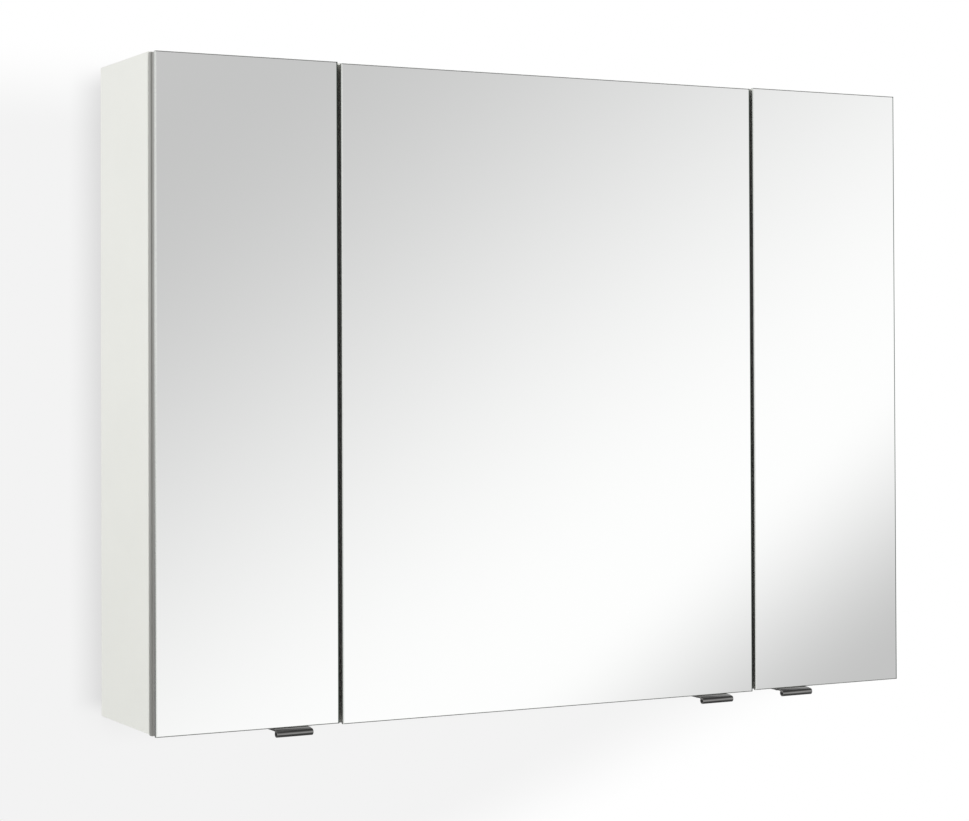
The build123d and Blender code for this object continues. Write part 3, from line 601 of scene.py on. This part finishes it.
def handle_shape(low, high, radius, plate):
    """A round bar with rolled rims on a bent bracket, filling the box from low to high."""
    work = bmesh.new()
    length = high.x - low.x
    bar_y, bar_z = low.y + radius, low.z + radius
    neck_y = bar_y + HANDLE_NECK
    rim, plate_rim = radius / 7, plate / 8
    disc = bmesh.ops.create_circle(work, cap_ends=True, segments=72, radius=radius)
    stand = Matrix.Translation((low.x, bar_y, bar_z)) @ Matrix.Rotation(math.radians(90.0), 4, "Y")
    bmesh.ops.transform(work, matrix=stand, verts=disc["verts"])
    bar = bmesh.ops.extrude_face_region(work, geom=work.faces[:])["geom"]
    bmesh.ops.translate(work, vec=(length, 0.0, 0.0), verts=points_of(bar))
    rims = [e for e in work.edges if abs(e.verts[0].co.x - e.verts[1].co.x) < radius / 100]
    bmesh.ops.bevel(
        work, geom=rims, offset=rim, segments=4, profile=0.5, affect="EDGES", material=-1
    )
    flat = bmesh.ops.create_cube(work, size=1.0)["verts"]
    size = (length - radius / 6, high.y - neck_y, plate)
    middle = ((low.x + high.x) / 2, (high.y + neck_y) / 2, high.z - plate / 2)
    bmesh.ops.scale(work, vec=size, verts=flat)
    bmesh.ops.translate(work, vec=middle, verts=flat)
    front = min((f for v in flat for f in v.link_faces), key=lambda f: f.calc_center_median().y)
    neck = bmesh.ops.extrude_face_region(work, geom=[front])["geom"]
    bent = points_of(neck)
    bmesh.ops.delete(work, geom=[front], context="FACES_ONLY")
    top = [v for v in bent if v.co.z > high.z - plate / 2]
    bottom = [v for v in bent if v not in top]
    top_fall, bottom_fall = bar_z + radius * 0.98 - high.z, bar_z - high.z + plate
    bmesh.ops.translate(work, vec=(0.0, bar_y - neck_y, top_fall), verts=top)
    bmesh.ops.translate(work, vec=(0.0, bar_y - neck_y, bottom_fall), verts=bottom)
    plate_edges = {e for v in flat + bent for e in v.link_edges}
    sharp = [e for e in plate_edges if e.is_manifold and e.calc_face_angle() > math.radians(25.0)]
    bmesh.ops.bevel(
        work, geom=sharp, offset=plate_rim, segments=3, profile=0.5, affect="EDGES", material=-1
    )
    bmesh.ops.recalc_face_normals(work, faces=work.faces[:])
    for face in work.faces:
        face.smooth = True
    return work


def piece(name, work, material, body, slot, *replaced):
    """A finished piece that rides on a body in place of CAD nodes."""
    mesh = bpy.data.meshes.new(name)
    work.to_mesh(mesh)
    work.free()
    mesh.set_sharp_from_angle(angle=math.radians(38.0))
    mesh.materials.append(material)
    made = bpy.data.objects.new(name, mesh)
    bpy.context.scene.collection.objects.link(made)
    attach(made, body)
    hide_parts(*replaced)
    return made


class CABINET_OT_handles(bpy.types.Operator):
    """Build the handles with rolled rims and finish them in dark chrome"""

    bl_idname = "cabinet.handles"
    bl_label = "Handles"

    def execute(self, context):
        finish = context.scene.cabinet_finish
        chrome = plated("dark_chrome", finish.handle_colour, 0.06, 0.12, 1400.0, 0.000003)
        for door in DOORS:
            low, high = (Vector(corner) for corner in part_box(f"{door}_handle"))
            work = handle_shape(low, high, finish.handle_bar_radius, finish.handle_plate)
            piece(f"{door}_bar_handle", work, chrome, f"{door}_door", "handle", f"{door}_handle")
        return {"FINISHED"}


class CABINET_OT_shelves(bpy.types.Operator):
    """Finish the glass shelves and their pins"""

    bl_idname = "cabinet.shelves"
    bl_label = "Shelves"

    def execute(self, context):
        finish = context.scene.cabinet_finish
        glass = shelf_glass(finish)
        for bay in DOORS:
            give(glass, f"{bay}_lower_shelf", f"{bay}_upper_shelf")
        pin = plated("nickel_pin", finish.nickel_colour, 0.18, 0.26, 1500.0, 0.000006)
        give(pin, "shelf_pins")
        return {"FINISHED"}


class CABINET_OT_hinges(bpy.types.Operator):
    """Finish the hinges, their plates and screws"""

    bl_idname = "cabinet.hinges"
    bl_label = "Hinges"

    def execute(self, context):
        finish = context.scene.cabinet_finish
        nickel = plated("nickel_plated_steel", finish.nickel_colour, 0.2, 0.3, 1100.0, 0.000008)
        cast_tone = times(finish.nickel_colour, 0.92)
        casting = plated("nickel_plated_casting", cast_tone, 0.34, 0.44, 800.0, 0.00002)
        zinc = plated("zinc_plated_screw", finish.zinc_colour, 0.26, 0.36, 1500.0, 0.00001)
        for door in DOORS:
            give(nickel, f"{door}_hinge_cups", f"{door}_outer_links", f"{door}_inner_links")
            give(nickel, f"{door}_hinge_arms")
            give(casting, f"{door}_hinge_plates")
            give(zinc, f"{door}_hinge_screws", f"{door}_door_screws")
        return {"FINISHED"}


class CABINET_OT_fittings(bpy.types.Operator):
    """Finish the wall rail, hangers, cam fasteners and bumpers"""

    bl_idname = "cabinet.fittings"
    bl_label = "Fittings"

    def execute(self, context):
        finish = context.scene.cabinet_finish
        give(galvanised(finish), "wall_rail", "hanger_hooks")
        zinc = plated("zinc_plated_fitting", finish.zinc_colour, 0.28, 0.4, 1200.0, 0.00001)
        give(zinc, "hanger_adjusters", "hanger_screws", "cam_bolts")
        cast_tone = times(finish.zinc_colour, 0.85)
        give(plated("zinc_casting", cast_tone, 0.4, 0.5, 700.0, 0.00003), "cam_discs")
        white = moulded("grained_white_plastic", (0.78, 0.78, 0.755), 0.48, 1300.0)
        give(white, "hanger_housings", "hanger_covers")
        give(moulded("clear_soft_bumper", (0.72, 0.73, 0.71), 0.3, 500.0), "bumpers")
        return {"FINISHED"}


# Stage
def sheet(name, size, spin, offset, material):
    """A flat square of the stage, built from a grid, with its place in its mesh."""
    mesh = bpy.data.meshes.new(name)
    work = bmesh.new()
    bmesh.ops.create_grid(work, x_segments=1, y_segments=1, size=size / 2)
    bmesh.ops.transform(work, matrix=Matrix.Translation(offset) @ spin, verts=work.verts)
    work.to_mesh(mesh)
    work.free()
    made = bpy.data.objects.new(name, mesh)
    bpy.context.scene.collection.objects.link(made)
    made.data.materials.append(material)
    return made


def only_seen(owner, shader, otherwise):
    """Use one shader for what the camera sees and another for all other rays."""
    rays = add(owner, "ShaderNodeLightPath")
    mixed = add(owner, "ShaderNodeMixShader", {0: rays.outputs["Is Camera Ray"]})
    owner.node_tree.links.new(otherwise.outputs[0], mixed.inputs[1])
    owner.node_tree.links.new(shader.outputs[0], mixed.inputs[2])
    return mixed


def wall_paint():
    """White wall that only the camera sees, from its front, with painted shade near the cabinet, fading out
    towards its edges.
    """
    top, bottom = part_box("top_panel")[1][2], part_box("bottom_panel")[0][2]
    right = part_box("right_side_panel")[1][0]
    lean, lean_clear, lean_full = -2.6, 2.16, 1.84
    shadow_level, beside_level, below_level = 0.896, 0.80, 0.93
    contact_reach = 0.036
    material = bpy.data.materials.new("wall_paint")
    material.use_nodes = True
    material.node_tree.nodes.clear()
    here = place(material)
    x, _, z = parts_of(material, here)
    reach = add(material, "ShaderNodeVectorMath", {0: here}, operation="LENGTH").outputs["Value"]
    # Painted shade: a soft grey below the cabinet's top, which ends at its right and along a slope at the
    # lower right
    under = ramp(material, z, top + 0.028, top - 0.072)
    slope = sums(material, "ADD", x, sums(material, "MULTIPLY", z, lean))
    sloped = ramp(material, slope, lean_clear, lean_full)
    beside = sums(material, "MULTIPLY", sloped, ramp(material, x, right + 0.07, right - 0.11))
    grey = sums(material, "MULTIPLY", under, beside)
    # The darker shade close to the cabinet, lighter under it than at its sides
    corner = add(material, "ShaderNodeAmbientOcclusion", {"Distance": contact_reach}, samples=16)
    deepest = ramp(material, z, bottom + 0.021, bottom + 0.001, beside_level, below_level)
    shade = ramp(material, corner.outputs["AO"], 1.0, 0.5, 0.0, 1.0, False)
    shade = sums(material, "MULTIPLY", shade, ramp(material, z, top + 0.010, top - 0.026))
    contact = blend(material, shade, 1.0, deepest)
    painted_soft_shade = ramp(material, grey, 0.0, 1.0, 1.0, shadow_level, False)
    level = sums(material, "MULTIPLY", contact, painted_soft_shade)
    lit = add(material, "ShaderNodeEmission", {"Color": (1.0, 1.0, 1.0, 1.0), "Strength": level})
    clear = add(material, "ShaderNodeBsdfTransparent")
    behind = add(material, "ShaderNodeNewGeometry").outputs["Backfacing"]
    far = ramp(material, reach, 1.5, 3.0)
    fade = add(material, "ShaderNodeMixShader", {0: sums(material, "MAXIMUM", behind, far)})
    material.node_tree.links.new(lit.outputs[0], fade.inputs[1])
    material.node_tree.links.new(clear.outputs[0], fade.inputs[2])
    seen = only_seen(material, fade, clear)
    out = add(material, "ShaderNodeOutputMaterial")
    material.node_tree.links.new(seen.outputs[0], out.inputs[0])
    return material


def floor_paint():
    """Plain pale floor, seen from above, fading out towards its edges."""
    material, shader = new_material("pale_floor")
    here = place(material)
    cloud = noise(material, here, 2.0, 3.0)
    tone = shades(material, cloud, (0.83, 0.83, 0.82), (0.84, 0.84, 0.83))
    put(material, shader.inputs["Base Color"], tone)
    shader.inputs["Roughness"].default_value = 0.7
    reach = add(material, "ShaderNodeVectorMath", {0: here}, operation="LENGTH").outputs["Value"]
    behind = add(material, "ShaderNodeNewGeometry").outputs["Backfacing"]
    gone = sums(material, "MAXIMUM", behind, ramp(material, reach, 1.7, 2.9))
    clear = add(material, "ShaderNodeBsdfTransparent")
    fade = add(material, "ShaderNodeMixShader", {0: gone, 1: shader.outputs[0], 2: clear.outputs[0]})
    out = material.node_tree.nodes["Material Output"]
    material.node_tree.links.new(fade.outputs[0], out.inputs[0])
    return material


def surroundings(studio):
    """Even light for the boards, soft bright and grey fields for what mirrors and metal reflect."""
    from_upper_left = (0.5133, 0.3453, -0.7858)
    to_lower_right = (0.4501, 0.4844, -0.7501)
    corner_grey, field_white, low_corner_grey = 0.578, 1.027, 0.5536
    ceiling_grey, ground_grey, band_grey, right_grey = 0.60, 0.55, 0.07, 0.16
    world = bpy.data.worlds.new("studio_surroundings")
    bpy.context.scene.world = world
    world.use_nodes = True
    world.node_tree.nodes.clear()
    way = add(world, "ShaderNodeTexCoord").outputs["Generated"]
    x, y, z = parts_of(world, way)

    def towards(direction):
        made = add(world, "ShaderNodeVectorMath", {0: way, 1: direction}, operation="DOT_PRODUCT")
        return made.outputs["Value"]

    # What the closed doors show from the front left: grey at two opposite corners, bright between
    upper_left = ramp(world, towards(from_upper_left), -0.234, 0.040, corner_grey, field_white)
    lower_right = ramp(world, towards(to_lower_right), -0.1061, -0.0162, 1.0, low_corner_grey)
    shine = sums(world, "MULTIPLY", upper_left, lower_right)
    # What metal, glass and turned doors show: a left wall, a ceiling, a ground, a dark band and a right wall
    steep = sums(world, "ABSOLUTE", z)
    left_wall = ramp(world, steep, 0.12, 0.50, 0.95, 0.62)
    shine = blend(world, ramp(world, x, -0.05, -0.7), shine, left_wall)
    ceiling = ramp(world, z, 0.93, 0.99, 0.12, ceiling_grey)
    shine = blend(world, ramp(world, z, 0.30, 0.70), shine, ceiling)
    ground = ramp(world, z, -0.93, -0.99, 0.12, ground_grey)
    shine = blend(world, ramp(world, z, -0.25, -0.70), shine, ground)
    band = sums(world, "MULTIPLY", ramp(world, z, 0.03, -0.13), ramp(world, z, -0.30, -0.18))
    band = sums(world, "MULTIPLY", ramp(world, y, 0.3, 0.6), band)
    shine = blend(world, band, shine, band_grey)
    shine = blend(world, ramp(world, x, 0.70, 0.80), shine, right_grey)
    rays = add(world, "ShaderNodeLightPath")
    lit = blend(world, rays.outputs["Is Glossy Ray"], studio.fill, shine)
    sharp = sums(world, "MAXIMUM", rays.outputs["Is Camera Ray"], rays.outputs["Is Transmission Ray"])
    strength = blend(world, sharp, lit, 1.0)
    back = add(world, "ShaderNodeBackground", {"Color": (1.0, 1.0, 1.0, 1.0), "Strength": strength})
    out = add(world, "ShaderNodeOutputWorld")
    world.node_tree.links.new(back.outputs[0], out.inputs[0])


def lamp(name, place_at, target, size, power):
    """A large square lamp that no mirror shows."""
    data = bpy.data.lights.new(name, "AREA")
    data.shape = "SQUARE"
    data.size = size
    data.energy = power
    made = bpy.data.objects.new(name, data)
    bpy.context.scene.collection.objects.link(made)
    aim = Vector(target) - Vector(place_at)
    made.matrix_world = Matrix.Translation(place_at) @ aim.to_track_quat("-Z", "Y").to_matrix().to_4x4()
    made.visible_glossy = False
    return made


def camera(studio):
    """The camera, turned, tilted and rolled as the studio settings say."""
    data = bpy.data.cameras.new("photo_camera")
    data.sensor_width = 36.0
    data.lens = studio.lens
    data.shift_y = studio.shift
    made = bpy.data.objects.new("photo_camera", data)
    bpy.context.scene.collection.objects.link(made)
    turn = Matrix.Rotation(-studio.camera_turn, 4, "Z")
    tilt = Matrix.Rotation(math.radians(90.0) + studio.camera_tilt, 4, "X")
    roll = Matrix.Rotation(studio.camera_roll, 4, "Z")
    made.matrix_world = Matrix.Translation(Vector(studio.camera_place)) @ turn @ tilt @ roll
    bpy.context.scene.camera = made


class CABINET_OT_stage(bpy.types.Operator):
    """Set the wall, the floor, the light and the camera"""

    bl_idname = "cabinet.stage"
    bl_label = "Stage"

    def execute(self, context):
        studio = context.scene.cabinet_studio
        upright = Matrix.Rotation(math.radians(90.0), 4, "X")
        wall_at = Vector((0.0, WALL_CLEARANCE, 0.0))
        sheet("studio_wall", STAGE_SIZE, upright, wall_at, wall_paint())
        floor_at = Vector((0.0, 0.0, studio.floor_level))
        floor = sheet("studio_floor", STAGE_SIZE, Matrix.Identity(4), floor_at, floor_paint())
        floor.visible_glossy = False
        surroundings(studio)
        lamp_place, lamp_aim, lamp_size = (1.6, -3.2, 0.9), (0.0, 0.0, -0.25), 2.2
        lamp("key_lamp", lamp_place, lamp_aim, lamp_size, studio.key)
        camera(studio)
        context.scene.view_settings.view_transform = "Standard"
        return {"FINISHED"}


OPERATORS = (
    CABINET_OT_boards,
    CABINET_OT_doors,
    CABINET_OT_handles,
    CABINET_OT_shelves,
    CABINET_OT_hinges,
    CABINET_OT_fittings,
    CABINET_OT_stage,
)


class CABINET_PT_pieces(bpy.types.Panel):
    """The cabinet's settings and operators in the sidebar"""

    bl_idname = "CABINET_PT_pieces"
    bl_label = "Mirror cabinet"
    bl_space_type = "VIEW_3D"
    bl_region_type = "UI"
    bl_category = "Cabinet"

    def draw(self, context):
        column = self.layout.column()
        for group in (context.scene.cabinet_finish, context.scene.cabinet_studio):
            for name in group.__annotations__:
                column.prop(group, name)
        for operator in OPERATORS:
            column.operator(operator.bl_idname)


CLASSES = (CabinetFinish, CabinetStudio, *OPERATORS, CABINET_PT_pieces)


def register():
    for made in CLASSES:
        bpy.utils.register_class(made)
    bpy.types.Scene.cabinet_finish = bpy.props.PointerProperty(type=CabinetFinish)
    bpy.types.Scene.cabinet_studio = bpy.props.PointerProperty(type=CabinetStudio)


def unregister():
    del bpy.types.Scene.cabinet_studio
    del bpy.types.Scene.cabinet_finish
    for made in reversed(CLASSES):
        bpy.utils.unregister_class(made)


def main():
    register()
    bpy.ops.cabinet.boards()
    bpy.ops.cabinet.doors()
    bpy.ops.cabinet.handles()
    bpy.ops.cabinet.shelves()
    bpy.ops.cabinet.hinges()
    bpy.ops.cabinet.fittings()
    bpy.ops.cabinet.stage()


if __name__ == "__main__":
    main()
